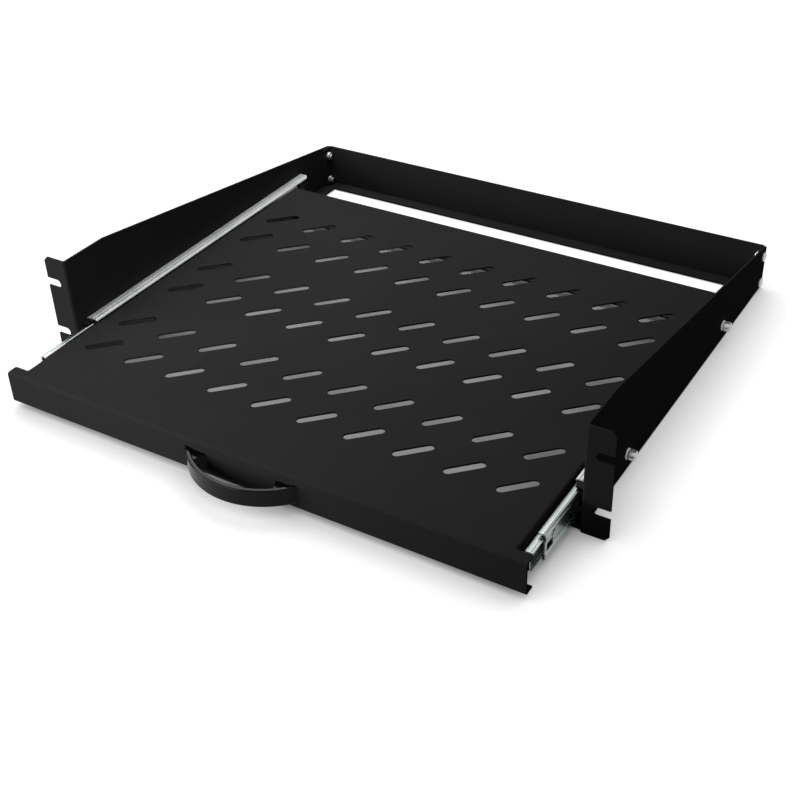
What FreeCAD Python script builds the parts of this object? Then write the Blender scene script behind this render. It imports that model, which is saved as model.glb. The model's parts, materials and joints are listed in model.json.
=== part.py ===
"""Sliding rack shelf: a slotted steel tray on two telescopic ball slides in a 19 inch frame.

Millimetres. +X is to the right, +Y to the rear of the rack, +Z up. The origin is the middle of
the mounting plane (the rear faces of the ears), at the level of the frame's underside. The tray
stands part way out. The left-hand pieces are built, and the right-hand ones mirror them.
"""
import FreeCAD, Part
import os
import re
import Sketcher
from FreeCAD import Vector

# Driving sizes: name, value in millimetres, degrees or pieces, and what it measures
SIZES = [
    ("rack_width", 482.6, "over both ears, 19 inch"),
    ("rack_unit", 44.45, "pitch of the ear notches"),
    ("ear_width", 19.5, "ears, from the side walls outwards"),
    ("ear_height", 88.4, "ears, two rack units less clearance"),
    ("ear_chamfer", 3, "outer corners of the ears"),
    ("notch_width", 7, "ear notches"),
    ("notch_depth", 13, "ear notches, from the edge to the round end"),
    ("gauge", 1.5, "sheet steel of frame and tray"),
    ("bend", 0.8, "inside radius of the sheet's bends"),
    ("wall_depth", 365.6, "walls, from the mounting plane to the back"),
    ("wall_flat", 43.8, "level part of the wall's top edge"),
    ("wall_corner", 3, "rounding of the wall's rear top corner"),
    ("rear_height", 40, "rear panel, and the walls beside it"),
    ("foot_width", 12, "foot flanges of the frame"),
    ("foot_gap", 0.5, "between the foot flanges at a corner"),
    ("end_flange", 13, "rear panel's end flanges, forwards"),
    ("end_relief", 2.6, "end flanges above the underside"),
    ("corner_low", 7.3, "lower corner screws above the underside"),
    ("corner_pitch", 25, "between the two screws of a corner"),
    ("nut_clear", 0.2, "corner nuts from the rear panel's bend"),
    ("tray_out", 77, "lip in front of the ears, as shown"),
    ("tray_clear", 3.5, "tray above the foot flanges"),
    ("tray_depth", 365.5, "tray, lip to rear edge"),
    ("tray_return", 16.2, "returns under the tray's sides and rear"),
    ("lip_gap", 1.1, "lip's ends from the walls"),
    ("lip_height", 26.6, "lip and the tray's other flanges"),
    ("lip_strip", 9.4, "strip of the top that runs out to the lip's ends"),
    ("lip_return", 9, "return under the lip"),
    ("lip_corner", 1.5, "rounding of the strip's corners"),
    ("slot_length", 30.2, "tray slots, end to end"),
    ("slot_width", 7, "tray slots"),
    ("slot_angle", 45, "slots, from the pull direction"),
    ("slot_margin", 28.3, "outer columns of slots from the tray's sides"),
    ("column_count", 10, "slots in a row"),
    ("first_row", 65.3, "front row from the lip"),
    ("row_pitch", 40, "between the two rows of a pair"),
    ("pair_count", 3, "pairs of rows"),
    ("pair_pitch", 100, "between pairs of rows"),
    ("handle_half", 48.5, "half the length of the handle"),
    ("handle_reach", 24, "handle in front of the lip"),
    ("handle_height", 14, "handle's bow, top to bottom"),
    ("handle_up", 13.4, "handle's middle above the lip's lower edge"),
    ("handle_end", 5, "bow where it meets the lip, across"),
    ("handle_mid", 4, "bow at its middle"),
    ("handle_round", 1.2, "edges of the bow"),
    ("handle_foot", 18.5, "handle's feet, from its ends inwards"),
    ("foot_drop", 1.5, "feet below the bow's edges"),
    ("handle_screw_in", 10.5, "handle screws from its ends"),
    ("handle_hole", 6, "depth of the handle's screw holes"),
    ("slide_clear", 2.2, "slides above the foot flanges"),
    ("slide_height", 28.4, "outer rail, flange to flange"),
    ("rail_gauge", 1, "rolled steel of the rails"),
    ("rail_bend", 0.4, "inside radius of the rails' bends"),
    ("rail_setback", 11.7, "outer rail's front end behind the mounting plane"),
    ("rail_land", 0.25, "flat edge of the inner rail beside its track"),
    ("outer_length", 300, "outer rail"),
    ("curl_end", 20, "outer rail's lips end at this angle above the balls' middles"),
    ("outer_round", 5, "rear corners of the outer rail's lips"),
    ("middle_length", 295, "middle rail"),
    ("middle_out", 57.7, "middle rail in front of the outer rail, as shown"),
    ("middle_web", 3.5, "middle rail's web from the wall"),
    ("middle_bend", 0.9, "inside radius of the middle rail's bends"),
    ("web_sink", 0.8, "middle rail's web, set in between its flanges"),
    ("sink_half", 5.6, "set-in part of the web, above the slide's middle"),
    ("inner_length", 295, "inner rail"),
    ("inner_setback", 16.5, "inner rail's front end behind the lip"),
    ("track_gap", 2.3, "between the flat flanges of two rails"),
    ("outer_track", 8.3, "outer ball track from the wall"),
    ("track_spacing", 2, "between the two ball tracks, across"),
    ("tray_track", 5.7, "inner ball track from the tray"),
    ("ball_size", 2.5, "balls"),
    ("ball_play", 0.1, "around a ball in its track or cage"),
    ("ball_count", 4, "balls in a cage strip"),
    ("ball_pitch", 22, "between balls"),
    ("cage_length", 80, "ball cages"),
    ("cage_rim", 0.45, "cage strip beside its balls"),
    ("cage_thick", 0.6, "cage strips"),
    ("outer_cage_at", 77.3, "outer cage from the outer rail's front end"),
    ("inner_cage_at", 64.5, "inner cage from the middle rail's front end"),
    ("stop_length", 9.5, "front stops"),
    ("stop_width", 6, "front stops, across"),
    ("stop_proud", 6.5, "front stops in front of the outer rail"),
    ("bumper_length", 7, "rear bumpers"),
    ("bumper_depth", 3.4, "rear bumpers, from the rail's web"),
    ("bumper_height", 16, "rear bumpers"),
    ("window_at", 3, "window in the middle rail's web from its front end"),
    ("window_length", 9, "window in the middle rail's web"),
    ("window_height", 6.2, "window in the middle rail's web"),
    ("window_drop", 1.8, "window below the slide's middle"),
    ("eye_at", 11, "upright hole in the middle rail's web from its front end"),
    ("eye_up", 5.5, "upright hole above the slide's middle"),
    ("eye_length", 6, "upright hole, end to end"),
    ("eye_width", 3.6, "upright hole"),
    ("tab_reach", 3.5, "turned tab in front of the inner rail"),
    ("tab_width", 6.6, "turned tab, from the tray outwards"),
    ("tab_height", 11, "turned tab"),
    ("tab_corner", 3, "rounding of the turned tab"),
    ("screw_size", 4, "M4 screws"),
    ("screw_play", 0.2, "around a screw in its clearance hole"),
    ("thread_play", 0.05, "around a screw in its nut or thread"),
    ("pan_head", 8, "screw heads"),
    ("pan_height", 1.6, "pan heads"),
    ("pan_bevel", 0.6, "edge of a pan head"),
    ("low_head", 1, "flat heads inside the outer rail"),
    ("nut_flats", 7, "nuts, across flats"),
    ("nut_height", 3.2, "corner nuts"),
    ("nut_flange", 8.6, "flange nuts' washer face"),
    ("washer_thick", 1, "flange nuts' washer face"),
    ("flange_nut", 6.5, "flange nuts with their washer face"),
    ("slide_screw_end", 7, "slide screws outside the wall"),
    ("corner_screw_end", 1, "corner screws past their nuts"),
    ("slide_screw_at", 61, "front slide screw from the outer rail's front end"),
    ("slide_screw_pitch", 192, "between the slide screws"),
    ("slide_screw_drop", 1.8, "slide screws below the slide's middle"),
    ("inner_screw_at", 35, "front tray screw from the inner rail's front end"),
    ("inner_screw_count", 3, "screws through each side of the tray"),
    ("inner_screw_pitch", 104, "between the tray screws"),
    ("inner_screw_end", 1.5, "tray screws past the inner rail's web"),
]

# Places that follow from the driving sizes
EAR_OUT = "(rack_width / 2)"
WALL_OUT = f"({EAR_OUT} - ear_width)"
WALL_IN = f"({WALL_OUT} - gauge)"
BEND_OUT = "(gauge + bend)"
NOTCH_LOW = "((ear_height - rack_unit) / 2)"
FOOT_EDGE = f"({WALL_OUT} - foot_width)"
CORNER_AT = f"(wall_depth - {BEND_OUT} - nut_clear - nut_flats / 2)"
TRAY_UNDER = "(gauge + tray_clear)"
TRAY_TOP = f"({TRAY_UNDER} + lip_height)"
LIP_FRONT = "(0 - gauge - tray_out)"
TRAY_REAR = f"({LIP_FRONT} + tray_depth)"
HANDLE_LEVEL = f"({TRAY_UNDER} + handle_up)"
HANDLE_SCREW = "(handle_half - handle_screw_in)"
TRACK_RADIUS = "(ball_size / 2 + ball_play)"
TRACK_BACK = f"({TRACK_RADIUS} + rail_gauge)"
GROOVE_HALF = f"sqrt({TRACK_RADIUS}^2 - (track_gap / 2)^2)"
RIDGE_HALF = f"sqrt({TRACK_BACK}^2 - (track_gap / 2 + rail_gauge)^2)"
RAIL_BEND_OUT = "(rail_gauge + rail_bend)"
MIDDLE_BEND_OUT = "(rail_gauge + middle_bend)"
SINK_BACK = "(sink_half + rail_gauge * tan(22.5deg))"
INNER_TRACK = "(outer_track - track_spacing)"
SLIDE_THICK = f"({INNER_TRACK} + tray_track)"
OUTER_TOP = "(slide_height / 2)"
OUTER_UNDER = f"({OUTER_TOP} - rail_gauge)"
OUTER_BALLS = f"({OUTER_UNDER} - track_gap / 2)"
MIDDLE_TOP = f"({OUTER_UNDER} - track_gap)"
MIDDLE_UNDER = f"({MIDDLE_TOP} - rail_gauge)"
INNER_BALLS = f"({MIDDLE_UNDER} - track_gap / 2)"
INNER_TOP = f"({MIDDLE_UNDER} - track_gap)"
INNER_UNDER = f"({INNER_TOP} - rail_gauge)"
SLIDE_LEVEL = f"(gauge + slide_clear + {OUTER_BALLS} + {TRACK_BACK})"
SCREW_LEVEL = f"({SLIDE_LEVEL} - slide_screw_drop)"
TRAY_SIDE = f"({WALL_IN} - {SLIDE_THICK})"
COLUMN_SPAN = f"(2 * ({TRAY_SIDE} - slot_margin))"
MIDDLE_FRONT = "(rail_setback - middle_out)"
INNER_FRONT = f"({LIP_FRONT} + inner_setback)"
STRIP_HALF = "(ball_size / 2 + cage_rim)"
CLEAR_RADIUS = "(screw_size / 2 + screw_play)"
THREAD_RADIUS = "(screw_size / 2 + thread_play)"
BEVEL_RADIUS = "(pan_head / 2 - pan_bevel)"

doc = FreeCAD.newDocument("sliding_rack_shelf")
sheet = doc.addObject("Spreadsheet::Sheet", "sizes")
for line, (alias, number, meaning) in enumerate(SIZES, 1):
    sheet.set(f"A{line}", meaning)
    sheet.set(f"B{line}", str(number))
    sheet.setAlias(f"B{line}", alias)
doc.recompute()
ALIASES = {alias for alias, number, meaning in SIZES}
SAME = 1e-4


def formula(text):
    """The text as a sheet formula, with the sheet's name put before each size."""
    return re.sub(r"[a-z_]+", lambda m: f"sizes.{m[0]}" if m[0] in ALIASES else m[0], text)


def value(text):
    """The present value of a formula."""
    return float(sheet.evalExpression(formula(text)))


def bind(thing, **settings):
    """Tie properties of an object to formulas."""
    for name, text in settings.items():
        thing.setExpression(name, formula(text))
    return thing


def new_body(label, across="0", along="0", up="0"):
    """An empty body with its own origin at the given place."""
    body = doc.addObject("PartDesign::Body", label)
    for axis, text in (("x", across), ("y", along), ("z", up)):
        body.setExpression(f"Placement.Base.{axis}", formula(text))
    return body


def origin(body, role):
    """One of a body's own planes or axes."""
    return next(f for f in body.Origin.OriginFeatures if f.Role == role)


def owner(feature):
    """The body that a feature belongs to."""
    return feature.getParentGeoFeatureGroup()


def towards(start, end):
    """Signs of the way from one path point to another."""
    steps = [value(end[k]) - value(start[k]) for k in (0, 1)]
    return [0 if abs(step) < SAME else (1 if step > 0 else -1) for step in steps]


def with_corners(path):
    """The path with each rounded square corner turned into two points and an arc."""
    points = []
    for i, point in enumerate(path):
        if len(point) != 3:
            points.append(point)
            continue
        u, v, radius = point
        back = towards(point, path[i - 1])
        ahead = towards(point, path[(i + 1) % len(path)])
        side = "left" if ahead[0] * back[1] > ahead[1] * back[0] else "right"
        before = (f"{u} + {back[0]} * {radius}", f"{v} + {back[1]} * {radius}")
        after = (f"{u} + {ahead[0]} * {radius}", f"{v} + {ahead[1]} * {radius}")
        points += [before, (*after, radius, side)]
    return points


def arc(start, end, radius, side):
    """The shorter arc between two places, with its centre on the left or right of the way."""
    chord = end - start
    left = Vector(-chord.y, chord.x, 0).normalize()
    depth = max(radius**2 - chord.Length**2 / 4, 0) ** 0.5
    bulge = left * (depth - radius) * (1 if side == "left" else -1)
    return Part.Arc(start, (start + end) * 0.5 + bulge, end)


def tie(sketch, name, text, kind, *where):
    """Add a sketch dimension that follows a formula."""
    index = sketch.addConstraint(Sketcher.Constraint(kind, *where, value(text)))
    sketch.renameConstraint(index, name)
    sketch.setExpression(f"Constraints.{name}", formula(text))


def place(sketch, geometry, spot, u, v):
    """Dimension a point of a sketch from the sketch's origin."""
    tie(sketch, f"across_{geometry}", u, "DistanceX", -1, 1, geometry, spot)
    tie(sketch, f"up_{geometry}", v, "DistanceY", -1, 1, geometry, spot)


def outline(body, name, plane, path, offset="0", bores=()):
    """A sketch on one of the body's planes: a closed path, with round holes or circles.

    A path point is (u, v), or (u, v, radius) for a rounded square corner, or
    (u, v, radius, side) for an arc that ends there with its centre on that side.
    A radius of None makes a half circle. A bore is (u, v, radius).
    """
    sketch = body.newObject("Sketcher::SketchObject", name)
    sketch.AttachmentSupport = [(origin(body, plane), "")]
    sketch.MapMode = "FlatFace"
    sketch.setExpression("AttachmentOffset.Base.z", formula(offset))
    points = with_corners(path)
    spots = [Vector(value(p[0]), value(p[1]), 0) for p in points]
    ends = []
    for i, point in enumerate(points):
        start, end = spots[i - 1], spots[i]
        curved = len(point) == 4
        if curved:
            radius = value(point[2]) if point[2] else (end - start).Length / 2
            sketch.addGeometry(arc(start, end, radius, point[3]), False)
        else:
            sketch.addGeometry(Part.LineSegment(start, end), False)
        ends.append((2, 1) if curved and point[3] == "right" else (1, 2))
    for i, point in enumerate(points):
        after = (i + 1) % len(points)
        sketch.addConstraint(Sketcher.Constraint("Coincident", i, ends[i][1], after, ends[after][0]))
        place(sketch, i, ends[i][1], point[0], point[1])
        if len(point) == 4 and point[2]:
            tie(sketch, f"radius_{i}", point[2], "Radius", i)
        elif len(point) == 4:
            k = 0 if abs(spots[i].y - spots[i - 1].y) > abs(spots[i].x - spots[i - 1].x) else 1
            middle = f"({points[i - 1][k]} + {point[k]}) / 2"
            tie(sketch, f"centre_{i}", middle, ("DistanceX", "DistanceY")[k], -1, 1, i, 3)
    for i, (u, v, radius) in enumerate(bores, len(points)):
        centre = Vector(value(u), value(v), 0)
        sketch.addGeometry(Part.Circle(centre, Vector(0, 0, 1), value(radius)), False)
        place(sketch, i, 3, u, v)
        tie(sketch, f"radius_{i}", radius, "Radius", i)
    return sketch


def pad(sketch, length, reverse=False, both_ways=False):
    """Solid from a sketch, along its normal, against it, or half each way."""
    feature = owner(sketch).newObject("PartDesign::Pad", f"{sketch.Name}_pad")
    feature.Profile = sketch
    feature.Reversed = reverse
    feature.Midplane = both_ways
    return bind(feature, Length=length)


def cut(sketch, length=None, reverse=False):
    """Pocket from a sketch, to a depth or, without one, through everything both ways."""
    body = owner(sketch)
    doc.recompute()
    before = body.Shape.Volume
    feature = body.newObject("PartDesign::Pocket", f"{sketch.Name}_cut")
    feature.Profile = sketch
    feature.Reversed = reverse
    if length:
        bind(feature, Length=length)
    else:
        feature.Type = "ThroughAll"
        feature.Midplane = True
    doc.recompute()
    if body.Shape.Volume > before - SAME:
        raise RuntimeError(f"{feature.Name} cuts nothing")
    return feature


def spin(sketch, axis):
    """Solid of revolution about one of the body's axes."""
    feature = owner(sketch).newObject("PartDesign::Revolution", f"{sketch.Name}_spin")
    feature.Profile = sketch
    feature.ReferenceAxis = (origin(owner(sketch), axis), [""])
    return feature


def repeat(features, *steps):
    """Repeat features by rows (axis, span, count) and mirrors (plane,), one after the other."""
    body = owner(features[0])
    multi = body.newObject("PartDesign::MultiTransform", f"{features[0].Name}_set")
    multi.Originals = features
    moves = []
    for step in steps:
        if len(step) == 1:
            move = body.newObject("PartDesign::Mirrored", f"{features[0].Name}_mirror")
            move.MirrorPlane = (origin(body, step[0]), [""])
        else:
            move = body.newObject("PartDesign::LinearPattern", f"{features[0].Name}_row")
            move.Direction = (origin(body, step[0]), [""])
            bind(move, Length=step[1], Occurrences=step[2])
        moves.append(move)
    multi.Transformations = moves
    body.Tip = multi
    return multi


def soften(body, size, axis, spots, kind="Fillet"):
    """Round or chamfer straight edges along an axis that pass through the given places."""
    doc.recompute()
    base = body.Tip
    names = []
    for i, edge in enumerate(base.Shape.Edges, 1):
        if edge.Curve.TypeId != "Part::GeomLine" or abs(edge.Curve.Direction[axis]) < 1 - SAME:
            continue
        middle = [edge.CenterOfMass[k] for k in range(3) if k != axis]
        if any(abs(middle[0] - a) < SAME and abs(middle[1] - b) < SAME for a, b in spots):
            names.append(f"Edge{i}")
    if len(names) < len(spots):
        raise RuntimeError(f"{body.Name} lacks an edge to soften")
    feature = body.newObject(f"PartDesign::{kind}", f"{body.Name}_{kind}")
    feature.Base = (base, names)
    return bind(feature, **{"Radius" if kind == "Fillet" else "Size": size})


def mirror(source, label):
    """The right-hand piece that mirrors a left-hand one."""
    twin = doc.addObject("Part::Mirroring", label)
    twin.Source = source
    twin.Normal = Vector(1, 0, 0)
    return twin


def above_and_below(half):
    """An outline's upper half, followed by its mirror image below the slide's middle."""
    back = half[::-1]
    lower = []
    for point, later in zip(back, [()] + back):
        bend = later[2:] if len(later) == 4 else point[2:3] if len(point) == 3 else ()
        lower.append((point[0], f"-({point[1]})", *bend))
    return half + lower


def side_bracket():
    """Left wall with its ear bent out at the front and its foot flange bent in below."""
    body = new_body("left_side_bracket")
    wall = outline(body, "wall_section", "XZ_Plane", [
        (f"-{WALL_OUT}", "ear_height"),
        (f"-{WALL_OUT}", "0", BEND_OUT),
        (f"-{FOOT_EDGE}", "0"),
        (f"-{FOOT_EDGE}", "gauge"),
        (f"-{WALL_IN}", "gauge", "bend"),
        (f"-{WALL_IN}", "ear_height"),
    ], offset="-bend")
    pad(wall, "wall_depth - bend", reverse=True)
    ear = outline(body, "ear_section", "XY_Plane", [
        (f"-{EAR_OUT}", "-gauge"),
        (f"-{WALL_IN}", "-gauge", BEND_OUT),
        (f"-{WALL_IN}", "2 * bend"),
        (f"-{WALL_OUT}", "2 * bend"),
        (f"-{WALL_OUT}", "0", "bend"),
        (f"-{EAR_OUT}", "0"),
    ])
    pad(ear, "ear_height")
    slope = outline(body, "wall_slope", "YZ_Plane", [
        ("wall_flat", "ear_height"),
        ("wall_depth", "rear_height"),
        ("wall_depth + gauge", "rear_height"),
        ("wall_depth + gauge", "ear_height + gauge"),
        ("wall_flat", "ear_height + gauge"),
    ])
    cut(slope)
    low, high = f"{NOTCH_LOW} - notch_width / 2", f"{NOTCH_LOW} + notch_width / 2"
    beyond, deep = f"-{EAR_OUT} - gauge", f"-{EAR_OUT} + notch_depth - notch_width / 2"
    notch = outline(body, "ear_notch", "XZ_Plane", [
        (beyond, low), (deep, low), (deep, high, None, "left"), (beyond, high),
    ])
    repeat([cut(notch)], ("Z_Axis", "rack_unit", "2"))
    first = "rail_setback + slide_screw_at"
    holes = [(first, SCREW_LEVEL, CLEAR_RADIUS),
             (f"{first} + slide_screw_pitch", SCREW_LEVEL, CLEAR_RADIUS),
             (CORNER_AT, "corner_low", CLEAR_RADIUS),
             (CORNER_AT, "corner_low + corner_pitch", CLEAR_RADIUS)]
    cut(outline(body, "wall_holes", "YZ_Plane", [], bores=holes))
    edge = -value(EAR_OUT)
    soften(body, "ear_chamfer", 1, [(edge, 0), (edge, value("ear_height"))], "Chamfer")
    soften(body, "wall_corner", 0, [(value("wall_depth"), value("rear_height"))])
    return body


def rear_panel():
    """Plate between the walls, with a foot flange and an end flange inside each wall."""
    body = new_body("rear_panel")
    half, flat = f"({WALL_IN} - {BEND_OUT})", f"({WALL_IN} - gauge)"
    plate = outline(body, "plate_face", "XZ_Plane", [
        (f"-{half}", BEND_OUT), (half, BEND_OUT), (half, "rear_height"), (f"-{half}", "rear_height"),
    ], offset="-wall_depth")
    pad(plate, "gauge")
    foot = outline(body, "foot_section", "YZ_Plane", [
        ("wall_depth", "rear_height - end_relief"),
        ("wall_depth - gauge", "rear_height - end_relief"),
        ("wall_depth - gauge", "gauge", "bend"),
        ("wall_depth - foot_width", "gauge"),
        ("wall_depth - foot_width", "0"),
        ("wall_depth", "0", BEND_OUT),
    ])
    pad(foot, f"2 * ({FOOT_EDGE} - foot_gap)", both_ways=True)
    ends = outline(body, "end_section", "XY_Plane", [
        (f"-{WALL_IN}", "wall_depth - end_flange"),
        (f"-{flat}", "wall_depth - end_flange"),
        (f"-{flat}", "wall_depth - gauge", "bend"),
        (flat, "wall_depth - gauge", "bend"),
        (flat, "wall_depth - end_flange"),
        (WALL_IN, "wall_depth - end_flange"),
        (WALL_IN, "wall_depth", BEND_OUT),
        (f"-{WALL_IN}", "wall_depth", BEND_OUT),
    ], offset="end_relief")
    pad(ends, "rear_height - end_relief")
    holes = [(CORNER_AT, "corner_low", CLEAR_RADIUS),
             (CORNER_AT, "corner_low + corner_pitch", CLEAR_RADIUS)]
    cut(outline(body, "corner_holes", "YZ_Plane", [], bores=holes))
    return body


def tray_pan():
    """Slotted pan: side and rear flanges with returns, and a front lip wider than the pan."""
    body = new_body("tray_pan")
    side, edge = TRAY_SIDE, f"({TRAY_SIDE} - tray_return)"
    shelf, ceiling = f"({TRAY_UNDER} + gauge)", f"({TRAY_TOP} - gauge)"
    right_half = [
        (f"{side} - gauge", ceiling, "bend"),
        (f"{side} - gauge", shelf, "bend"),
        (edge, shelf),
        (edge, TRAY_UNDER),
        (side, TRAY_UNDER, BEND_OUT),
        (side, TRAY_TOP, BEND_OUT),
    ]
    left_half = [(f"-({point[0]})", *point[1:]) for point in right_half[::-1]]
    strip = f"({LIP_FRONT} + lip_strip)"
    pan = outline(body, "pan_section", "XZ_Plane", right_half + left_half, offset=f"-{strip}")
    pad(pan, f"tray_depth - lip_strip - {BEND_OUT}", reverse=True)
    rear = outline(body, "rear_section", "YZ_Plane", [
        (f"{TRAY_REAR} - 2 * {BEND_OUT}", TRAY_TOP),
        (f"{TRAY_REAR} - 2 * {BEND_OUT}", ceiling),
        (f"{TRAY_REAR} - gauge", ceiling, "bend"),
        (f"{TRAY_REAR} - gauge", shelf, "bend"),
        (f"{TRAY_REAR} - tray_return", shelf),
        (f"{TRAY_REAR} - tray_return", TRAY_UNDER),
        (TRAY_REAR, TRAY_UNDER, BEND_OUT),
        (TRAY_REAR, TRAY_TOP, BEND_OUT),
    ])
    pad(rear, f"2 * ({side} - {BEND_OUT})", both_ways=True)
    lip = outline(body, "lip_section", "YZ_Plane", [
        (strip, TRAY_TOP),
        (LIP_FRONT, TRAY_TOP, BEND_OUT),
        (LIP_FRONT, TRAY_UNDER, BEND_OUT),
        (f"{LIP_FRONT} + lip_return", TRAY_UNDER),
        (f"{LIP_FRONT} + lip_return", shelf),
        (f"{LIP_FRONT} + gauge", shelf, "bend"),
        (f"{LIP_FRONT} + gauge", ceiling, "bend"),
        (strip, ceiling),
    ])
    pad(lip, f"2 * ({WALL_IN} - lip_gap)", both_ways=True)
    lip_end, strip_edge = value(f"{WALL_IN} - lip_gap"), value(strip)
    soften(body, "lip_corner", 2, [(lip_end, strip_edge), (-lip_end, strip_edge)])
    sine, cosine = "sin(slot_angle * 1deg)", "cos(slot_angle * 1deg)"

    def slot_corner(along, across):
        """A corner of the first slot, on its own axes."""
        reach, half = f"{along} * (slot_length - slot_width) / 2", f"{across} * slot_width / 2"
        return (f"({reach} * {sine} + {half} * {cosine} - {COLUMN_SPAN} / 2)",
                f"({reach} * {cosine} - {half} * {sine} + {LIP_FRONT} + first_row)")

    slot = outline(body, "slot", "XY_Plane", [
        slot_corner(1, 1),
        (*slot_corner(1, -1), None, "left"),
        slot_corner(-1, -1),
        (*slot_corner(-1, 1), None, "left"),
    ], offset=TRAY_TOP)
    repeat([cut(slot, "2 * gauge")],
           ("X_Axis", COLUMN_SPAN, "column_count"),
           ("Y_Axis", "row_pitch", "2"),
           ("Y_Axis", "pair_pitch * (pair_count - 1)", "pair_count"))
    hole = [(f"{INNER_FRONT} + inner_screw_at", SLIDE_LEVEL, CLEAR_RADIUS)]
    repeat([cut(outline(body, "side_hole", "YZ_Plane", [], bores=hole))],
           ("Y_Axis", "inner_screw_pitch * (inner_screw_count - 1)", "inner_screw_count"))
    holes = [(f"{sign}{HANDLE_SCREW}", HANDLE_LEVEL, CLEAR_RADIUS) for sign in ("-", "")]
    cut(outline(body, "lip_holes", "XZ_Plane", [], f"-{LIP_FRONT}", holes), "2 * gauge")
    return body


def pull_handle():
    """Moulded bow with a foot inside each end, screwed on from behind the lip."""
    body = new_body("pull_handle", "0", LIP_FRONT, HANDLE_LEVEL)
    inner, dip = "(handle_half - handle_end)", "(handle_reach - handle_mid)"
    outer_radius = "((handle_half^2 + handle_reach^2) / (2 * handle_reach))"
    inner_radius = f"(({inner}^2 + {dip}^2) / (2 * {dip}))"
    bow = outline(body, "bow", "XY_Plane", [
        ("handle_half", "0", outer_radius, "left"),
        (inner, "0"),
        (f"-{inner}", "0", inner_radius, "right"),
        ("-handle_half", "0"),
    ])
    plain = pad(bow, "handle_height", both_ways=True)
    doc.recompute()
    edges = enumerate(plain.Shape.Edges, 1)
    curved = [f"Edge{i}" for i, edge in edges if edge.Curve.TypeId == "Part::GeomCircle"]
    rounding = body.newObject("PartDesign::Fillet", "bow_edges")
    rounding.Base = (plain, curved)
    bind(rounding, Radius="handle_round")
    heel = "(handle_half - handle_foot)"
    toe = f"({heel} + handle_end)"
    deep = f"({outer_radius} - handle_reach - sqrt({outer_radius}^2 - {toe}^2) + handle_end / 2)"
    for name, sign in (("left_foot", "-"), ("right_foot", "")):
        foot = outline(body, name, "XY_Plane", [
            (f"{sign}{heel}", "0"),
            (f"{sign}{toe}", deep),
            (f"{sign}(handle_half - handle_end / 2)", "0"),
        ])
        pad(foot, "handle_height - 2 * foot_drop", both_ways=True)
    holes = [(f"{sign}{HANDLE_SCREW}", "0", THREAD_RADIUS) for sign in ("-", "")]
    cut(outline(body, "thread_holes", "XZ_Plane", [], bores=holes), "handle_hole", reverse=True)
    return body


def outer_rail():
    """Channel on the wall. Each flange ends in a lip that curls round a row of balls."""
    body = new_body("left_outer_rail", f"-{WALL_IN}", "rail_setback", SLIDE_LEVEL)
    sine, cosine = "sin(curl_end * 1deg)", "cos(curl_end * 1deg)"

    def lip_end(radius):
        """Where a curl of the given radius ends."""
        return f"outer_track + {radius} * {cosine}", f"{OUTER_BALLS} + {radius} * {sine}"

    section = above_and_below([
        ("0", OUTER_TOP, RAIL_BEND_OUT),
        (f"outer_track - {RIDGE_HALF}", OUTER_TOP),
        (*lip_end(TRACK_BACK), TRACK_BACK, "right"),
        lip_end(TRACK_RADIUS),
        (f"outer_track - {GROOVE_HALF}", OUTER_UNDER, TRACK_RADIUS, "left"),
        ("rail_gauge", OUTER_UNDER, "rail_bend"),
    ])
    pad(outline(body, "outer_section", "XZ_Plane", section), "outer_length", reverse=True)
    holes = [("slide_screw_at", "-slide_screw_drop", CLEAR_RADIUS),
             ("slide_screw_at + slide_screw_pitch", "-slide_screw_drop", CLEAR_RADIUS)]
    cut(outline(body, "outer_holes", "YZ_Plane", [], bores=holes))
    rear, edge = "outer_length", f"outer_track + {TRACK_BACK}"
    cut(outline(body, "rear_corner", "XY_Plane", [
        (f"{edge} - outer_round", rear),
        (edge, f"{rear} - outer_round", "outer_round", "right"),
        (f"{edge} + gauge", f"{rear} - outer_round"),
        (f"{edge} + gauge", f"{rear} + gauge"),
        (f"{edge} - outer_round", f"{rear} + gauge"),
    ]))
    return body


def middle_rail():
    """Channel in the outer rail, its web set in. Each flange has a ball track outside and inside."""
    body = new_body("left_middle_rail", f"-{WALL_IN}", MIDDLE_FRONT, SLIDE_LEVEL)
    web, lip = "(middle_web + rail_gauge)", f"outer_track + {RIDGE_HALF}"
    section = above_and_below([
        ("middle_web + web_sink", "sink_half - web_sink"),
        ("middle_web", "sink_half"),
        ("middle_web", MIDDLE_TOP, MIDDLE_BEND_OUT),
        (f"{INNER_TRACK} - {RIDGE_HALF}", MIDDLE_TOP),
        (f"{INNER_TRACK} + {RIDGE_HALF}", MIDDLE_TOP, TRACK_BACK, "right"),
        (f"outer_track - {GROOVE_HALF}", MIDDLE_TOP),
        (f"outer_track + {GROOVE_HALF}", MIDDLE_TOP, TRACK_RADIUS, "left"),
        (lip, MIDDLE_TOP),
        (lip, MIDDLE_UNDER),
        (f"outer_track - {RIDGE_HALF}", MIDDLE_UNDER, TRACK_BACK, "right"),
        (f"{INNER_TRACK} + {GROOVE_HALF}", MIDDLE_UNDER),
        (f"{INNER_TRACK} - {GROOVE_HALF}", MIDDLE_UNDER, TRACK_RADIUS, "left"),
        (web, MIDDLE_UNDER, "middle_bend"),
        (web, SINK_BACK),
        (f"{web} + web_sink", f"{SINK_BACK} - web_sink"),
    ])
    pad(outline(body, "middle_section", "XZ_Plane", section), "middle_length", reverse=True)
    far = "window_at + window_length"
    sill, top = "-window_drop - window_height / 2", "window_height / 2 - window_drop"
    cut(outline(body, "window", "YZ_Plane", [
        ("window_at", sill), (far, sill), (far, top), ("window_at", top),
    ]))
    front, back = "eye_at - eye_width / 2", "eye_at + eye_width / 2"
    low, high = "eye_up - (eye_length - eye_width) / 2", "eye_up + (eye_length - eye_width) / 2"
    cut(outline(body, "eye", "YZ_Plane", [
        (front, low), (back, low, None, "left"), (back, high), (front, high, None, "left"),
    ]))
    return body


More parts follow.
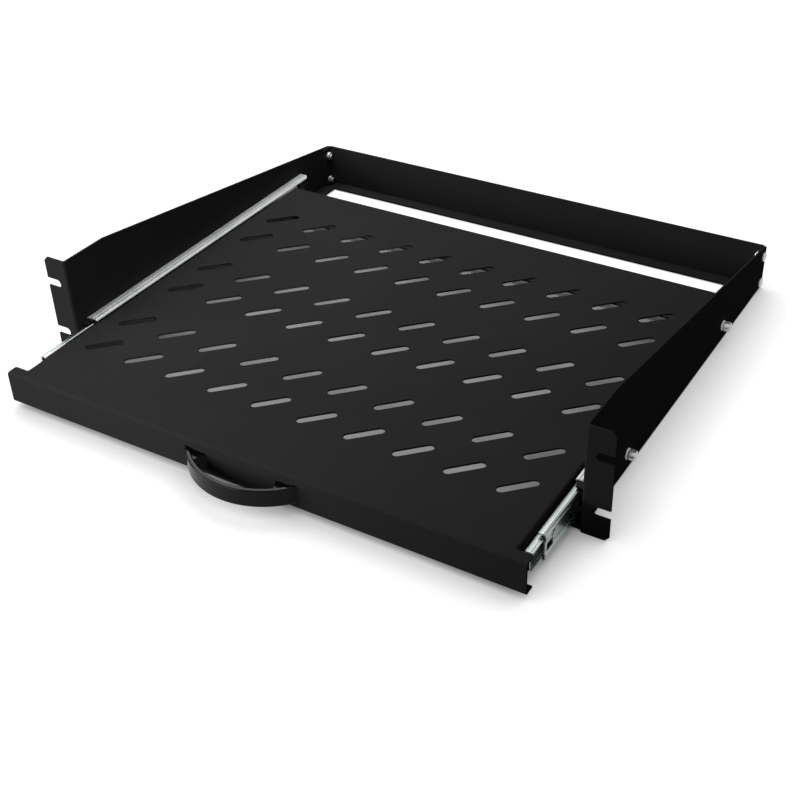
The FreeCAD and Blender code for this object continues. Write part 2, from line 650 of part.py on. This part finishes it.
def inner_rail():
    """Channel on the tray, open to the middle rail, with a tab turned out at its front end."""
    body = new_body("left_inner_rail", f"-{WALL_IN}", INNER_FRONT, SLIDE_LEVEL)
    web = f"({SLIDE_THICK} - rail_gauge)"
    edge = f"({INNER_TRACK} - {RIDGE_HALF} - rail_land)"
    section = above_and_below([
        (web, INNER_UNDER, "rail_bend"),
        (f"{INNER_TRACK} + {RIDGE_HALF}", INNER_UNDER),
        (f"{INNER_TRACK} - {RIDGE_HALF}", INNER_UNDER, TRACK_BACK, "right"),
        (edge, INNER_UNDER),
        (edge, INNER_TOP),
        (f"{INNER_TRACK} - {GROOVE_HALF}", INNER_TOP),
        (f"{INNER_TRACK} + {GROOVE_HALF}", INNER_TOP, TRACK_RADIUS, "left"),
        (SLIDE_THICK, INNER_TOP, RAIL_BEND_OUT),
    ])
    pad(outline(body, "inner_section", "XZ_Plane", section), "inner_length", reverse=True)
    tip = f"({SLIDE_THICK} - tab_width)"
    tab = outline(body, "tab_section", "XY_Plane", [
        (SLIDE_THICK, "rail_gauge"),
        (SLIDE_THICK, "-tab_reach", RAIL_BEND_OUT),
        (tip, "-tab_reach"),
        (tip, "rail_gauge - tab_reach"),
        (web, "rail_gauge - tab_reach", "rail_bend"),
        (web, "rail_gauge"),
    ])
    pad(tab, "tab_height", both_ways=True)
    end, half = value(tip), value("tab_height / 2")
    soften(body, "tab_corner", 1, [(end, half), (end, -half)])
    hole = [("inner_screw_at", "0", THREAD_RADIUS)]
    repeat([cut(outline(body, "inner_hole", "YZ_Plane", [], bores=hole))],
           ("Y_Axis", "inner_screw_pitch * (inner_screw_count - 1)", "inner_screw_count"))
    return body


def front_stops():
    """Plastic plugs in the mouth of the outer rail, above and below the middle rail."""
    body = new_body("left_front_stops", f"-{WALL_IN}", "rail_setback", SLIDE_LEVEL)
    left, right = "rail_gauge + rail_bend", "rail_gauge + rail_bend + stop_width"
    plug = outline(body, "plug_section", "XZ_Plane", [
        (left, OUTER_BALLS), (right, OUTER_BALLS), (right, OUTER_UNDER), (left, OUTER_UNDER),
    ], offset="stop_proud")
    repeat([pad(plug, "stop_length", reverse=True)], ("XY_Plane",))
    return body


def rear_bumper():
    """Plastic block on the outer rail's web that the middle rail closes against."""
    body = new_body("left_rear_bumper", f"-{WALL_IN}", "rail_setback + outer_length", SLIDE_LEVEL)
    face, half = "rail_gauge + bumper_depth", "bumper_height / 2"
    block = outline(body, "bumper_section", "XZ_Plane", [
        ("rail_gauge", f"-{half}"), (face, f"-{half}"), (face, half), ("rail_gauge", half),
    ])
    pad(block, "bumper_length")
    return body


def cage_and_balls(stage, across, front, height):
    """A ball cage, upper and lower strip, and the balls in its holes."""
    inset = "(cage_length - ball_pitch * (ball_count - 1)) / 2"
    ball_row = ("Y_Axis", "ball_pitch * (ball_count - 1)", "ball_count")
    to_upper = ("Z_Axis", f"2 * {height}", "2")
    where = (f"{across} - {WALL_IN}", front, f"{SLIDE_LEVEL} - {height}")
    cage = new_body(f"left_{stage}_ball_cage", *where)
    half = "cage_thick / 2"
    strip = outline(cage, f"{stage}_strip", "XZ_Plane", [
        (f"-{STRIP_HALF}", f"-{half}"), (STRIP_HALF, f"-{half}"),
        (STRIP_HALF, half), (f"-{STRIP_HALF}", half),
    ])
    repeat([pad(strip, "cage_length", reverse=True)], to_upper)
    hole = [("0", inset, TRACK_RADIUS)]
    repeat([cut(outline(cage, f"{stage}_ball_hole", "XY_Plane", [], bores=hole))], ball_row)
    balls = new_body(f"left_{stage}_balls", where[0], f"{front} + {inset}", where[2])
    ball = balls.newObject("PartDesign::AdditiveSphere", f"{stage}_ball")
    bind(ball, Radius="ball_size / 2")
    repeat([ball], ball_row, to_upper)
    return [cage, balls]


def screws(label, along, up, profile, *steps):
    """Screws across the shelf, turned from half a section on their own axis, on both sides."""
    body = new_body(label, "0", along, up)
    turned = spin(outline(body, f"{label}_section", "XY_Plane", profile), "X_Axis")
    repeat([turned], *steps, ("YZ_Plane",))
    return body


def screw_profile(tip, seat, top, head):
    """Half a screw: shank from its tip to the head's seat, and the head's outline up to its top."""
    return [(tip, "0"), (tip, "screw_size / 2"), (seat, "screw_size / 2"), (seat, "pan_head / 2"), *head,
            (top, "0")]


def nuts(label, along, up, seat, height, *steps, washer=None):
    """Hexagon nuts across the shelf, from their seat by a signed height, on both sides."""
    body = new_body(label, "0", along, up)
    point, half, low = "nut_flats / sqrt(3)", "nut_flats / 2", "nut_flats / sqrt(12)"
    hexagon = [("0", point), (f"-{half}", low), (f"-{half}", f"-{low}"), ("0", f"-{point}"),
               (half, f"-{low}"), (half, low)]
    bore = ("0", "0", THREAD_RADIUS)
    inwards = not height.startswith("-")
    sketch = outline(body, f"{label}_hexagon", "YZ_Plane", hexagon, seat, [bore])
    solids = [pad(sketch, height.lstrip("-"), reverse=not inwards)]
    if washer:
        ring = [("0", "0", "nut_flange / 2"), bore]
        sketch = outline(body, f"{label}_washer", "YZ_Plane", [], seat, ring)
        solids.append(pad(sketch, washer, reverse=not inwards))
    repeat(solids, *steps, ("YZ_Plane",))
    return body


def handle_screws():
    """Pan heads behind the lip, with their shanks in the handle's feet."""
    body = new_body("handle_screws", f"-{HANDLE_SCREW}", LIP_FRONT, HANDLE_LEVEL)
    top = "gauge + pan_height"
    turned = spin(outline(body, "handle_screw", "XY_Plane", [
        ("0", "-handle_hole"),
        ("screw_size / 2", "-handle_hole"),
        ("screw_size / 2", "gauge"),
        ("pan_head / 2", "gauge"),
        ("pan_head / 2", f"{top} - pan_bevel"),
        (BEVEL_RADIUS, top),
        ("0", top),
    ]), "Y_Axis")
    repeat([turned], ("X_Axis", f"2 * {HANDLE_SCREW}", "2"))
    return body


left_pieces = [
    side_bracket(),
    outer_rail(),
    middle_rail(),
    inner_rail(),
    front_stops(),
    rear_bumper(),
    *cage_and_balls("outer", "outer_track", "rail_setback + outer_cage_at", OUTER_BALLS),
    *cage_and_balls("inner", INNER_TRACK, f"{MIDDLE_FRONT} + inner_cage_at", INNER_BALLS),
]
right_pieces = [mirror(piece, piece.Label.replace("left", "right")) for piece in left_pieces]

slide_row = ("Y_Axis", "slide_screw_pitch", "2")
corner_row = ("Z_Axis", "corner_pitch", "2")
tray_row = ("Y_Axis", "inner_screw_pitch * (inner_screw_count - 1)", "inner_screw_count")
slide_seat = f"(rail_gauge - {WALL_IN})"
corner_seat = f"(gauge - {WALL_IN})"
tray_seat = f"(gauge - {TRAY_SIDE})"
slide_top = f"{slide_seat} + low_head"
corner_top = f"-{WALL_OUT} - pan_height"
tray_top = f"{tray_seat} + pan_height"
fasteners = [
    screws("slide_screws", "rail_setback + slide_screw_at", SCREW_LEVEL,
           screw_profile(f"-{WALL_OUT} - slide_screw_end", slide_seat, slide_top,
                         [(slide_top, "pan_head / 2")]),
           slide_row),
    nuts("slide_flange_nuts", "rail_setback + slide_screw_at", SCREW_LEVEL, f"-{WALL_OUT}",
         "-flange_nut", slide_row, washer="washer_thick"),
    screws("corner_screws", CORNER_AT, "corner_low",
           screw_profile(f"{corner_seat} + nut_height + corner_screw_end", f"-{WALL_OUT}", corner_top,
                         [(f"{corner_top} + pan_bevel", "pan_head / 2"), (corner_top, BEVEL_RADIUS)]),
           corner_row),
    nuts("corner_nuts", CORNER_AT, "corner_low", corner_seat, "nut_height", corner_row),
    screws("inner_rail_screws", f"{INNER_FRONT} + inner_screw_at", SLIDE_LEVEL,
           screw_profile(f"-{TRAY_SIDE} - rail_gauge - inner_screw_end", tray_seat, tray_top,
                         [(f"{tray_top} - pan_bevel", "pan_head / 2"), (tray_top, BEVEL_RADIUS)]),
           tray_row),
    handle_screws(),
]
pieces = left_pieces + right_pieces + fasteners + [rear_panel(), tray_pan(), pull_handle()]

doc.recompute()
failed = [item.Name for item in doc.Objects if {"Invalid", "Error"} & set(item.State)]
failed += [piece.Label for piece in pieces if piece.Shape.isNull() or not piece.Shape.isValid()]
if failed:
    raise RuntimeError(f"failed: {failed}")
os.makedirs("parts", exist_ok=True)
for piece in pieces:
    piece.Shape.exportStep(f"parts/{piece.Label}.step")
    print(piece.Label, len(piece.Shape.Solids), round(piece.Shape.Volume))
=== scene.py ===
"""Looks of the sliding rack shelf: finishes, detailed fasteners, rail beads, floor, light, camera."""

import json
from math import pi, radians, sqrt

import bmesh
import bpy
from mathutils import Matrix, Vector


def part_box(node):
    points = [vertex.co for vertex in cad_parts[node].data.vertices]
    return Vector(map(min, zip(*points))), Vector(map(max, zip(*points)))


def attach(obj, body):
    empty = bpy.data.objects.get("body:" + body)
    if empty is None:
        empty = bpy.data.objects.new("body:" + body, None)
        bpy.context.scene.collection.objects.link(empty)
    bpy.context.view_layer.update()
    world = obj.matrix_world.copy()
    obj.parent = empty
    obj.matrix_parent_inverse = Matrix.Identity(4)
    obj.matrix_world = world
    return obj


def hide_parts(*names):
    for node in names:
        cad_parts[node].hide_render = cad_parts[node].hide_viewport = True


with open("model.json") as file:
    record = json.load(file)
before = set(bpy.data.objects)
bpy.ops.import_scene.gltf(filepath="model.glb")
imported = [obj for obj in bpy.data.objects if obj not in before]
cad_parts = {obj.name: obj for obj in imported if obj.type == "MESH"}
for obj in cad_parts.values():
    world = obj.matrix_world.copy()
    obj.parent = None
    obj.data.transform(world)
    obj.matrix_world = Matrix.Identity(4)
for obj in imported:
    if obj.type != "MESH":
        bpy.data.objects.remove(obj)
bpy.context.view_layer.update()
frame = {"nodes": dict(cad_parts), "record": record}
nodes = frame["nodes"]
scene = bpy.context.scene
MM = 0.001
SIDES = ("left", "right")
SMOOTH_BELOW = radians(35)

# Screws: heads and shanks as in the CAD, with threads and cross recesses added
SCREW_RADIUS = 2 * MM
HEAD_RADIUS = 4 * MM
PAN_HEIGHT = 1.6 * MM
PAN_BEVEL = 0.6 * MM
LOW_HEIGHT = 1 * MM
LOW_BEVEL = 0.2 * MM
SLIDE_PLAIN, SLIDE_THREAD = 2.5 * MM, 7 * MM
CORNER_PLAIN, CORNER_THREAD = 3 * MM, 4.2 * MM
TRAY_PLAIN, TRAY_THREAD = 1.5 * MM, 2.5 * MM
HANDLE_PLAIN, HANDLE_THREAD = 1.5 * MM, 6 * MM
THREAD_PITCH = 0.7 * MM
THREAD_DEPTH = 0.3 * MM
RECESS_LENGTH = 4.6 * MM
RECESS_WIDTH = 0.95 * MM
RECESS_DEPTH = 1.1 * MM
RECESS_TAPER = 0.6

# Nuts, as in the CAD, with bevelled corners added
BORE_RADIUS = 2.05 * MM
NUT_FLATS = 7 * MM
NUT_CORNER = NUT_FLATS / sqrt(3)
NUT_HEIGHT = 3.2 * MM
FLANGE_NUT_HEIGHT = 6.5 * MM
FLANGE_RADIUS = 4.3 * MM
FLANGE_THICK = 1 * MM

# Beads rolled along the outer rails, and how far the rails' curled edges stand above their flats
BEAD_WIDTH = 2 * MM
BEAD_HEIGHT = 0.4 * MM
BEAD_DEPTH = 0.9 * MM
BEAD_ROUND = 0.9 * MM
BEAD_FROM_WALL = 5.6 * MM
BEAD_SHORT = 6 * MM
CURL_RISE = 0.2 * MM

# Grain of the finishes, and the range that most of a noise pattern lies in
PEEL_SIZE = 1.2 * MM
CLOUD_SIZE = 60 * MM
LINE_SIZE = 1.2 * MM
BLOOM_SIZE = 14 * MM
NOISE_LOW, NOISE_HIGH = 0.3, 0.7

# Paper under the shelf, and how far the shade painted on the floor reaches and between which openness it
# fades
FLOOR_SIZE = 8
FLOOR_LEVEL = -0.2 * MM
CARD_WIDTH = 416 * MM
CARD_DEPTH = 29 * MM
CARD_MIDDLE = 337.5 * MM
CARD_LEVEL = -0.17 * MM
SHADE_REACH = 70 * MM
SHADE_DARK, SHADE_WHITE = 0.08, 0.87

# Light of the room on the object, and the angle in degrees of the lamps under the tray
ROOM_LIGHT = 0.15
STRIP_ANGLE = 40


def linear(hex_colour):
    """An sRGB hex colour as linear red, green, blue and alpha."""
    parts = [int(hex_colour[i:i + 2], 16) / 255 for i in (1, 3, 5)]
    return [c / 12.92 if c <= 0.04045 else ((c + 0.055) / 1.055) ** 2.4 for c in parts] + [1.0]


def add_node(tree, kind, settings=None, links=None, **inputs):
    """Add a node, set its options and sockets, and link other nodes' outputs to its sockets."""
    node = tree.nodes.new(kind)
    for name, value in (settings or {}).items():
        setattr(node, name, value)
    for name, value in inputs.items():
        node.inputs[name.replace("_", " ")].default_value = value
    for socket, source in (links or {}).items():
        tree.links.new(source, node.inputs[socket])
    return node


def new_material(name):
    """An empty node material, its tree and its output."""
    material = bpy.data.materials.new(name)
    material.use_nodes = True
    material.node_tree.nodes.clear()
    output = material.node_tree.nodes.new("ShaderNodeOutputMaterial")
    return material, material.node_tree, output


def object_place(tree):
    """Coordinates that stay with the object."""
    return add_node(tree, "ShaderNodeTexCoord").outputs["Object"]


def noise(tree, place, size, detail, roughness=0.5):
    """A noise pattern with grains of about the given size."""
    return add_node(tree, "ShaderNodeTexNoise", {}, {"Vector": place}, Scale=1 / size, Detail=detail,
                    Roughness=roughness).outputs["Fac"]


def two_tones(tree, pattern, tones):
    """A colour that follows a pattern between two hex colours."""
    ramp = add_node(tree, "ShaderNodeValToRGB", {}, {"Fac": pattern})
    for element, place, tone in zip(ramp.color_ramp.elements, (NOISE_LOW, NOISE_HIGH), tones):
        element.position, element.color = place, linear(tone)
    return ramp.outputs["Color"]


def between(tree, pattern, low, high):
    """A number that follows a pattern between two values."""
    return add_node(tree, "ShaderNodeMapRange", {}, {"Value": pattern}, From_Min=NOISE_LOW,
                    From_Max=NOISE_HIGH, To_Min=low, To_Max=high).outputs["Result"]


def relief(tree, pattern, strength, depth):
    """Normals that show a pattern as fine relief."""
    return add_node(tree, "ShaderNodeBump", {}, {"Height": pattern}, Strength=strength,
                    Distance=depth).outputs["Normal"]


def coat(tree, output, colour, roughness, normal, **inputs):
    """Put a shader with this colour, roughness and relief on a material's output."""
    links = {"Base Color": colour, "Roughness": roughness, "Normal": normal}
    shader = add_node(tree, "ShaderNodeBsdfPrincipled", {}, links, **inputs)
    tree.links.new(shader.outputs["BSDF"], output.inputs["Surface"])


def powder_coat():
    """Black polyester powder coat, baked on folded steel.

    A deep, even black with fine orange peel. Real peel is about 0.5 mm across. It is drawn coarser,
    because finer peel doesn't show at this distance. The gloss is far below a real coat's, so that
    the walls stay almost black in a white room.
    """
    material, tree, output = new_material("black_powder_coat")
    place = object_place(tree)
    peel = noise(tree, place, PEEL_SIZE, 3.0, 0.6)
    cloud = noise(tree, place, CLOUD_SIZE, 2.0)
    coat(tree, output, two_tones(tree, cloud, ("#2a2929", "#2c2b2b")), between(tree, peel, 0.92, 1.0),
         relief(tree, peel, 0.12, 0.06 * MM), Specular_IOR_Level=0.004)
    return material


def silver_steel(name, tones, stretch, roughness):
    """Zinc-plated or polished steel: silver with a fine grain, stretched to lines along the rails."""
    material, tree, output = new_material(name)
    place = object_place(tree)
    drawn = add_node(tree, "ShaderNodeMapping", {}, {"Vector": place}, Scale=(1, stretch, 1))
    line = noise(tree, drawn.outputs["Vector"], LINE_SIZE, 2.0)
    bloom = noise(tree, place, BLOOM_SIZE, 3.0)
    coat(tree, output, two_tones(tree, bloom, tones), between(tree, line, *roughness),
         relief(tree, line, 0.03, 0.02 * MM), Metallic=1.0)
    return material


def moulded_plastic(name, tones, roughness, grain, gloss):
    """Injection-moulded plastic: plain deep black with the fine grain of the mould."""
    material, tree, output = new_material(name)
    spark = noise(tree, object_place(tree), grain, 2.0)
    coat(tree, output, two_tones(tree, spark, tones), between(tree, spark, *roughness),
         relief(tree, spark, 0.1, 0.02 * MM), IOR=1.52, Specular_IOR_Level=gloss)
    return material


def shown_rays(tree):
    """1 for rays from the camera, from glossy surfaces and through glass, and 0 for the rest."""
    path = add_node(tree, "ShaderNodeLightPath")
    seen = add_node(tree, "ShaderNodeMath", {"operation": "MAXIMUM"},
                    {0: path.outputs["Is Camera Ray"], 1: path.outputs["Is Glossy Ray"]})
    shown = add_node(tree, "ShaderNodeMath", {"operation": "MAXIMUM"},
                     {0: seen.outputs[0], 1: path.outputs["Is Transmission Ray"]})
    return shown.outputs[0]


def studio_paper(name, shade=None):
    """Paper that is white to the eye and in reflections, and perhaps dimmer close to the object, where
    shade is painted on it from how open the floor is there.
    """
    material, tree, output = new_material(name)
    glow = shown_rays(tree)
    if shade:
        # Painted shade: the paper's white glow is dimmed where the object closes in the floor around it
        near = add_node(tree, "ShaderNodeAmbientOcclusion", {"samples": 16}, Distance=shade)
        open_part = add_node(tree, "ShaderNodeMapRange", {}, {"Value": near.outputs["AO"]},
                             From_Min=SHADE_DARK, From_Max=SHADE_WHITE)
        glow = add_node(tree, "ShaderNodeMath", {"operation": "MULTIPLY"},
                        {0: glow, 1: open_part.outputs["Result"]}).outputs[0]
    white = add_node(tree, "ShaderNodeEmission", {}, {"Strength": glow}, Color=linear("#ffffff"))
    paper = add_node(tree, "ShaderNodeBsdfDiffuse", Color=linear("#6a6a6a"))
    both = add_node(tree, "ShaderNodeAddShader", {}, {0: white.outputs[0], 1: paper.outputs[0]})
    tree.links.new(both.outputs[0], output.inputs["Surface"])
    return material


finishes = {
    "powder_coat": powder_coat(),
    "zinc_rail": silver_steel("zinc_plated_rail", ("#98a09f", "#a6adac"), 0.02, (0.25, 0.31)),
    "zinc_fastener": silver_steel("zinc_plated_fastener", ("#b9bcbd", "#cacccd"), 1.0, (0.34, 0.46)),
    "handle_gloss": moulded_plastic("gloss_black_abs", ("#060607", "#0a0a0b"), (0.08, 0.13), 1.5 * MM,
                                    0.09),
    "slide_plastic": moulded_plastic("matt_black_acetal", ("#151516", "#1b1b1c"), (0.5, 0.65), 0.6 * MM,
                                     0.05),
    "ball_steel": silver_steel("polished_ball_steel", ("#c4c6c8", "#d2d4d5"), 1.0, (0.08, 0.12)),
}
for part in frame["record"]["subparts"]:
    slots = nodes[part["node"]].data.materials
    slots.clear()
    slots.append(finishes[part["material_slot"]])
dull_zinc = silver_steel("dull_zinc_sheet", ("#adafaf", "#babcbc"), 0.02, (0.62, 0.7))
for side in SIDES:
    nodes[f"{side}_outer_rail"].data.materials[0] = dull_zinc


def begin(primitive, **settings):
    """Add a primitive with nothing else selected, and open it in edit mode."""
    bpy.ops.object.select_all(action="DESELECT")
    primitive(**settings)
    bpy.ops.object.mode_set(mode="EDIT")
    return bpy.context.object


def choose(piece):
    """Make a piece the only selected one."""
    bpy.ops.object.select_all(action="DESELECT")
    bpy.context.view_layer.objects.active = piece
    piece.select_set(True)


def pick(piece, way):
    """Select the faces of a piece in edit mode that face up, with way 1, or down, with way -1."""
    bpy.ops.mesh.select_mode(type="FACE")
    bpy.ops.mesh.select_all(action="DESELECT")
    mesh = bmesh.from_edit_mesh(piece.data)
    for face in mesh.faces:
        face.select_set(way * face.normal.z > 0.9)
    bmesh.update_edit_mesh(piece.data)


def pull_down(length):
    """Extrude the selected faces downwards."""
    bpy.ops.mesh.extrude_region_move(TRANSFORM_OT_translate={"value": (0, 0, -length)})


def combine(piece, tool, operation):
    """Cut, join or intersect a piece with a tool, and remove the tool."""
    modifier = piece.modifiers.new(operation.lower(), "BOOLEAN")
    modifier.operation, modifier.object, modifier.solver = operation, tool, "EXACT"
    choose(piece)
    bpy.ops.object.modifier_apply(modifier=modifier.name)
    bpy.data.objects.remove(tool)


def disc(radius, height, bevel, sides=40):
    """A round plate from the ground up, with its upper rim bevelled."""
    piece = begin(bpy.ops.mesh.primitive_cylinder_add, vertices=sides, radius=radius, depth=height,
                  location=(0, 0, height / 2))
    pick(piece, 1)
    bpy.ops.mesh.bevel(offset=bevel, segments=3, affect="EDGES")
    bpy.ops.object.mode_set(mode="OBJECT")
    bpy.ops.object.transform_apply(location=True)
    return piece


def grow_thread(length):
    """Extrude the selected end face downwards as rings of thread with a tapered tip."""
    waist = 1 - THREAD_DEPTH / SCREW_RADIUS
    turns = int(length / THREAD_PITCH - 0.1)
    for factor in (waist, 1 / waist) * turns:
        pull_down(THREAD_PITCH / 2)
        bpy.ops.transform.resize(value=(factor, factor, 1))
    pull_down(length - turns * THREAD_PITCH)
    bpy.ops.transform.resize(value=(waist, waist, 1))


def cross_tool(top):
    """A tapered cross that leaves a screwdriver recess in a head whose top is at this height."""
    blades = []
    for length, width in ((RECESS_LENGTH, RECESS_WIDTH), (RECESS_WIDTH, RECESS_LENGTH)):
        blade = begin(bpy.ops.mesh.primitive_cube_add, size=1, location=(0, 0, top),
                      scale=(length, width, 2 * RECESS_DEPTH))
        pick(blade, -1)
        bpy.ops.transform.resize(value=(RECESS_TAPER, RECESS_TAPER, 1))
        bpy.ops.object.mode_set(mode="OBJECT")
        bpy.ops.object.transform_apply(location=True, scale=True)
        blades.append(blade)
    combine(*blades, "UNION")
    return blades[0]


def screw(head_height, bevel, plain, thread):
    """A cross-recessed screw, seat at the origin and head up: plain shank, then thread."""
    piece = disc(HEAD_RADIUS, head_height, bevel)
    bpy.ops.object.mode_set(mode="EDIT")
    pick(piece, -1)
    bpy.ops.mesh.inset(thickness=HEAD_RADIUS - SCREW_RADIUS)
    pull_down(plain)
    grow_thread(thread)
    bpy.ops.object.mode_set(mode="OBJECT")
    combine(piece, cross_tool(head_height), "DIFFERENCE")
    return piece


def nut(height, flange=False):
    """A hexagon nut, seat at the origin, with bevelled corners, a bore and perhaps a flange."""
    piece = disc(NUT_CORNER, height, (NUT_CORNER - NUT_FLATS / 2) * 0.9)
    hexagon = begin(bpy.ops.mesh.primitive_cylinder_add, vertices=6, radius=NUT_CORNER, depth=height,
                    location=(0, 0, height / 2))
    bpy.ops.object.mode_set(mode="OBJECT")
    combine(piece, hexagon, "INTERSECT")
    if flange:
        combine(piece, disc(FLANGE_RADIUS, FLANGE_THICK, FLANGE_THICK / 3), "UNION")
    bore = begin(bpy.ops.mesh.primitive_cylinder_add, vertices=40, radius=BORE_RADIUS, depth=3 * height)
    bpy.ops.mesh.subdivide()
    bpy.ops.object.mode_set(mode="OBJECT")
    combine(piece, bore, "DIFFERENCE")
    return piece


def dress(piece, body, material):
    """Give a piece its finish, smooth its rounded faces and set the body that carries it."""
    piece.data.materials.clear()
    piece.data.materials.append(material)
    choose(piece)
    bpy.ops.object.shade_smooth_by_angle(angle=SMOOTH_BELOW)
    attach(piece, body)


def settle(model, name, body, node, places):
    """Put a copy of the model at each place, as separate pieces that stand for a CAD node."""
    for number, place in enumerate(places, 1):
        piece = bpy.data.objects.new(f"{name}_{number}", model.data.copy())
        scene.collection.objects.link(piece)
        piece.data.transform(place)
        dress(piece, body, finishes["zinc_fastener"])
        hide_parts(node)
    bpy.data.objects.remove(model)


def bead(side, rail):
    """A rounded bead along an outer rail's top, whose lower part is sunk in the rail."""
    low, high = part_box(rail)
    length = high[1] - low[1] - BEAD_SHORT
    across = low[0] + BEAD_FROM_WALL if side == "left" else high[0] - BEAD_FROM_WALL
    middle_height = high[2] - CURL_RISE + (BEAD_HEIGHT - BEAD_DEPTH) / 2
    piece = begin(bpy.ops.mesh.primitive_cube_add, size=1)
    bpy.ops.transform.resize(value=(BEAD_WIDTH, length, BEAD_HEIGHT + BEAD_DEPTH))
    bpy.ops.transform.translate(value=(across, low[1] + length / 2, middle_height))
    pick(piece, 1)
    bpy.ops.mesh.bevel(offset=BEAD_ROUND, segments=4, affect="EDGES")
    bpy.ops.object.mode_set(mode="OBJECT")
    piece.name = f"{side}_rail_bead"
    dress(piece, "frame", dull_zinc)


def even(low, high, radius, count):
    """Evenly spaced middles of round pieces that fill a range from end to end."""
    if count == 1:
        return [(low + high) / 2]
    return [low + radius + (high - low - 2 * radius) * i / (count - 1) for i in range(count)]


def both_sides(node, radius, along, up, seat, outwards):
    """Places of fasteners on both sides, in rows along and up, with their heads out, 1, or in, -1."""
    low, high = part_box(node)
    places = []
    for side in (-1, 1):
        turn = Matrix.Rotation(side * outwards * pi / 2, 4, "Y")
        for y in even(low[1], high[1], radius, along):
            for z in even(low[2], high[2], radius, up):
                places.append(Matrix.Translation((side * (high[0] - seat), y, z)) @ turn)
    return places


# Screws and nuts, each on the seat that its CAD solid has
settle(screw(LOW_HEIGHT, LOW_BEVEL, SLIDE_PLAIN, SLIDE_THREAD), "slide_screw", "frame", "slide_screws",
       both_sides("slide_screws", HEAD_RADIUS, 2, 1, SLIDE_PLAIN + SLIDE_THREAD, -1))
settle(nut(FLANGE_NUT_HEIGHT, flange=True), "slide_flange_nut", "frame", "slide_flange_nuts",
       both_sides("slide_flange_nuts", FLANGE_RADIUS, 2, 1, FLANGE_NUT_HEIGHT, 1))
settle(screw(PAN_HEIGHT, PAN_BEVEL, CORNER_PLAIN, CORNER_THREAD), "corner_screw", "frame", "corner_screws",
       both_sides("corner_screws", HEAD_RADIUS, 1, 2, PAN_HEIGHT, 1))
settle(nut(NUT_HEIGHT), "corner_nut", "frame", "corner_nuts",
       both_sides("corner_nuts", NUT_CORNER, 1, 2, 0, -1))
settle(screw(PAN_HEIGHT, PAN_BEVEL, TRAY_PLAIN, TRAY_THREAD), "tray_screw", "tray", "inner_rail_screws",
       both_sides("inner_rail_screws", HEAD_RADIUS, 3, 1, TRAY_PLAIN + TRAY_THREAD, -1))
low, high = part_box("handle_screws")
head_back = Matrix.Rotation(-pi / 2, 4, "X")
settle(screw(PAN_HEIGHT, PAN_BEVEL, HANDLE_PLAIN, HANDLE_THREAD), "handle_screw", "tray", "handle_screws",
       [Matrix.Translation((x, high[1] - PAN_HEIGHT, (low[2] + high[2]) / 2)) @ head_back
        for x in even(low[0], high[0], HEAD_RADIUS, 2)])

for side in SIDES:
    bead(side, f"{side}_outer_rail")


def sheet(name, width, depth, place, material):
    """A sheet of paper laid flat under the shelf."""
    paper = begin(bpy.ops.mesh.primitive_plane_add, size=1)
    bpy.ops.transform.resize(value=(width, depth, 1))
    bpy.ops.transform.translate(value=place)
    bpy.ops.object.mode_set(mode="OBJECT")
    paper.name = name
    paper.data.materials.append(material)


# Floor, and a white card on it under the open strip behind the tray: painted light that keeps the strip
# evenly white, where the tray and the rear panel would shade the floor
sheet("floor", FLOOR_SIZE, FLOOR_SIZE, (0, 0, FLOOR_LEVEL), studio_paper("studio_paper", SHADE_REACH))
sheet("unshaded_card", CARD_WIDTH, CARD_DEPTH, (0, CARD_MIDDLE, CARD_LEVEL), studio_paper("unshaded_card"))

# Light: a dim white room, soft boxes from the rear left round to the front, and weak strips under the
# tray that lift its left and rear folds and the floor beside them to grey
world = bpy.data.worlds.new("studio")
scene.world = world
world.use_nodes = True
tree = world.node_tree
tree.nodes.clear()
room = add_node(tree, "ShaderNodeBackground", Color=linear("#ffffff"), Strength=ROOM_LIGHT)
white = add_node(tree, "ShaderNodeBackground", Color=linear("#ffffff"), Strength=1.0)
mix = add_node(tree, "ShaderNodeMixShader", {}, {0: shown_rays(tree), 1: room.outputs[0],
                                                 2: white.outputs[0]})
add_node(tree, "ShaderNodeOutputWorld", {}, {"Surface": mix.outputs[0]})


def soft_box(name, place, target, size, power, angle=180):
    """A rectangular area light that faces a target and spreads over an angle in degrees."""
    data = bpy.data.lights.new(name, "AREA")
    data.shape = "RECTANGLE"
    data.size, data.size_y = size
    data.energy = power
    data.spread = radians(angle)
    light = bpy.data.objects.new(name, data)
    light.location = place
    light.visible_camera = False
    light.rotation_euler = (Vector(target) - Vector(place)).to_track_quat("-Z", "Y").to_euler()
    scene.collection.objects.link(light)


soft_box("rear_left_box", (-0.75, 1.2, 0.95), (0.0, 0.1, 0.0), (2.0, 1.6), 3.5)
soft_box("upper_left_box", (-0.3, 0.25, 0.55), (-0.2, 0.15, 0.0), (0.55, 0.55), 3.8)
soft_box("front_left_box", (-0.68, -0.45, 0.25), (0.0, 0.05, 0.03), (0.45, 0.4), 4.5)
soft_box("front_box", (-0.12, -0.34, 0.12), (-0.1, -0.08, 0.02), (0.2, 0.2), 0.65)
soft_box("under_box", (0.0, 0.1, 0.018), (-0.208, 0.1, 0.019), (0.3, 0.01), 0.042, STRIP_ANGLE)
soft_box("left_strip", (-0.2025, 0.105, 0.029), (-0.2025, 0.105, 0.0), (0.006, 0.33), 0.007, STRIP_ANGLE)
soft_box("rear_strip", (0.0, 0.268, 0.029), (0.0, 0.268, 0.0), (0.38, 0.024), 0.027, STRIP_ANGLE)

# Camera, from a fit of the ears, lip, walls and slots
camera_data = bpy.data.cameras.new("camera")
camera_data.sensor_width = 36
camera_data.lens = 58.504
camera = bpy.data.objects.new("camera", camera_data)
right = Vector((0.855512, 0.516916, -0.029947))
up = Vector((-0.276238, 0.504572, 0.817985))
back = Vector((0.437940, -0.691524, 0.574459))
turn = Matrix((right, up, back)).transposed().to_4x4()
camera.matrix_world = Matrix.Translation((0.472614, -0.616377, 0.571588)) @ turn
scene.collection.objects.link(camera)
scene.camera = camera
scene.view_settings.view_transform = "Standard"
